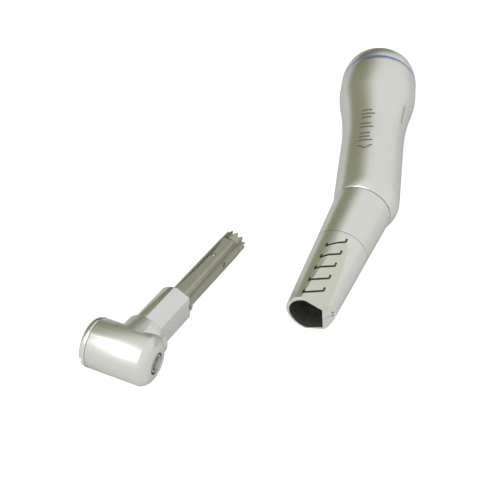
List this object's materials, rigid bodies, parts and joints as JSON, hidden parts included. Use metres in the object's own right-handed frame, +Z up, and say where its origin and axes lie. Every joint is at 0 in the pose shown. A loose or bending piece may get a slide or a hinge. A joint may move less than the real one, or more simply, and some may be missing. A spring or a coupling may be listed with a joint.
{
  "type": "dental contra-angle handpiece",
  "caption": "Dental contra-angle handpiece taken apart: a bent grip with a flatted socket and a push-button latch head on a long toothed drive tube.",
  "frame": {"origin": "on the bench, under the middle of the box round grip and head", "axes": "+Z up from the bench, +Y from the nose's mouth to the rear of the grip, +X to the side that the bur face looks to"},
  "size_m": [0.0458, 0.1156, 0.0198],
  "materials": {
    "satin_nickel": "satin, finely blasted plating",
    "milled_nickel": "fine milled flats",
    "polished_steel": "polished",
    "blue_ring": "glossy blue enamel",
    "tube_steel": "turned and milled steel",
    "light_glass": "fused glass fibre",
    "core_alloy": "turned",
    "bush_brass": "turned",
    "bearing_steel": "ground",
    "drive_steel": "ground steel"
  },
  "bodies": {
    "shank": {"handle_sleeve": "satin_nickel", "ratio_ring": "blue_ring", "rear_collar": "satin_nickel", "coupling_tube": "core_alloy", "catch_ring": "drive_steel", "inner_core": "core_alloy", "drive_front_bearing_outer_race": "bearing_steel", "drive_back_bearing_outer_race": "bearing_steel", "nose_sleeve": "satin_nickel", "light_rod": "light_glass", "release_spring": "drive_steel", "spray_air_tube": "drive_steel", "spray_water_tube": "drive_steel"},
    "release_ring": {"release_ring": "satin_nickel"},
    "latch_pin": {"latch_pin": "drive_steel"},
    "rear_drive": {"rear_drive_shaft": "drive_steel", "drive_dog": "drive_steel", "bend_gear": "drive_steel", "drive_front_bearing_inner_race": "bearing_steel", "drive_front_bearing_balls": "bearing_steel", "drive_back_bearing_inner_race": "bearing_steel", "drive_back_bearing_balls": "bearing_steel"},
    "head": {"head_housing": "satin_nickel", "neck_sleeve": "milled_nickel", "shaft_tube": "tube_steel", "locating_ball": "tube_steel", "shaft_front_bush": "bush_brass", "shaft_back_bush": "bush_brass", "pinion_bearing_outer_race": "bearing_steel", "bur_bearing_outer_race": "bearing_steel", "cap_bearing_outer_race": "bearing_steel", "cap_ring": "polished_steel", "spring_washer": "drive_steel", "button_spring": "drive_steel"},
    "head_drive": {"drive_shaft": "drive_steel", "crown_gear": "tube_steel", "drive_pinion": "drive_steel", "pinion_bearing_inner_race": "bearing_steel", "pinion_bearing_balls": "bearing_steel"},
    "spindle": {"spindle": "drive_steel", "spindle_gear": "drive_steel", "chuck_claws": "drive_steel", "chuck_spring": "drive_steel", "bur_bearing_inner_race": "bearing_steel", "bur_bearing_balls": "bearing_steel", "cap_bearing_inner_race": "bearing_steel", "cap_bearing_balls": "bearing_steel"},
    "push_button": {"push_button": "polished_steel"},
    "chuck_plunger": {"chuck_plunger": "drive_steel"}
  },
  "joints": [
    {"name": "release_turn", "type": "hinge", "parent": "shank", "child": "release_ring", "pos_m": [0.01526, -0.00028, 0.00704], "axis": [-0.0018, -0.9976, -0.0697], "range_deg": [0, 30], "stiffness_Nm_per_rad": 0.02},
    {"name": "latch_slide", "type": "slide", "parent": "shank", "child": "latch_pin", "axis": [0.947, -0.0241, 0.3204], "range_m": [0, 0.00045]},
    {"name": "rear_drive_spin", "type": "hinge", "parent": "shank", "child": "rear_drive", "pos_m": [0.01142, 0.02262, 0.00845], "axis": [-0.2567, 0.9649, 0.055], "continuous": true},
    {"name": "head_lift", "type": "slide", "parent": "shank", "child": "head", "axis": [0, 0, 1], "range_m": [0, 0.03]},
    {"name": "head_drive_spin", "type": "hinge", "parent": "head", "child": "head_drive", "pos_m": [-0.01342, -0.05245, 0.00536], "axis": [0.1026, 0.9928, -0.0623], "continuous": true},
    {"name": "spindle_spin", "type": "hinge", "parent": "head", "child": "spindle", "pos_m": [-0.01342, -0.05245, 0.00536], "axis": [1, 0.005, -0.0067], "continuous": true},
    {"name": "button_press", "type": "slide", "parent": "head", "child": "push_button", "axis": [1, 0.005, -0.0067], "range_m": [0, 0.0008], "stiffness_N_per_m": 3000, "deforming": ["button_spring"]},
    {"name": "plunger_slide", "type": "slide", "parent": "spindle", "child": "chuck_plunger", "axis": [1, 0.005, -0.0067], "range_m": [0, 0.00048], "deforming": ["chuck_spring"]}
  ],
  "couplings": [
    {"joint": "latch_slide", "follows": "release_turn", "m_per_rad": 0.00085944},
    {"joint": "spindle_spin", "follows": "head_drive_spin", "ratio": 1},
    {"joint": "plunger_slide", "follows": "button_press", "ratio": 0.6}
  ]
}
